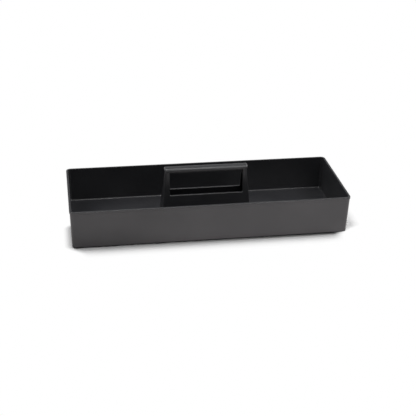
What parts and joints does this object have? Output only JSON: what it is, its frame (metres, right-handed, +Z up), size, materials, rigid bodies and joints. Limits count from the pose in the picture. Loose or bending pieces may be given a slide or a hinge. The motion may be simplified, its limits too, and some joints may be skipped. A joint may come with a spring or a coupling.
{
  "type": "tool storage caddy",
  "caption": "Long open tray with drafted walls for hobby tools, with a hollow A-shaped carrying handle and a rounded grip standing in the middle of its floor.",
  "frame": {"origin": "middle of the footprint, on the surface that the tray stands on", "axes": "+X along the tray and the grip, +Y across the tray from front to back, +Z up"},
  "size_m": [0.3, 0.108, 0.0638],
  "materials": {
    "tray_plastic": "black satin moulding with a fine spark-eroded grain",
    "handle_plastic": "black satin moulding with a fine spark-eroded grain",
    "grip_plastic": "black satin moulding, a little smoother from handling",
    "screw_steel": "zinc-plated steel"
  },
  "bodies": {
    "root": {"tray": "tray_plastic", "handle_frame": "handle_plastic", "grip_cap": "grip_plastic", "handle_screws": "screw_steel"}
  },
  "joints": []
}
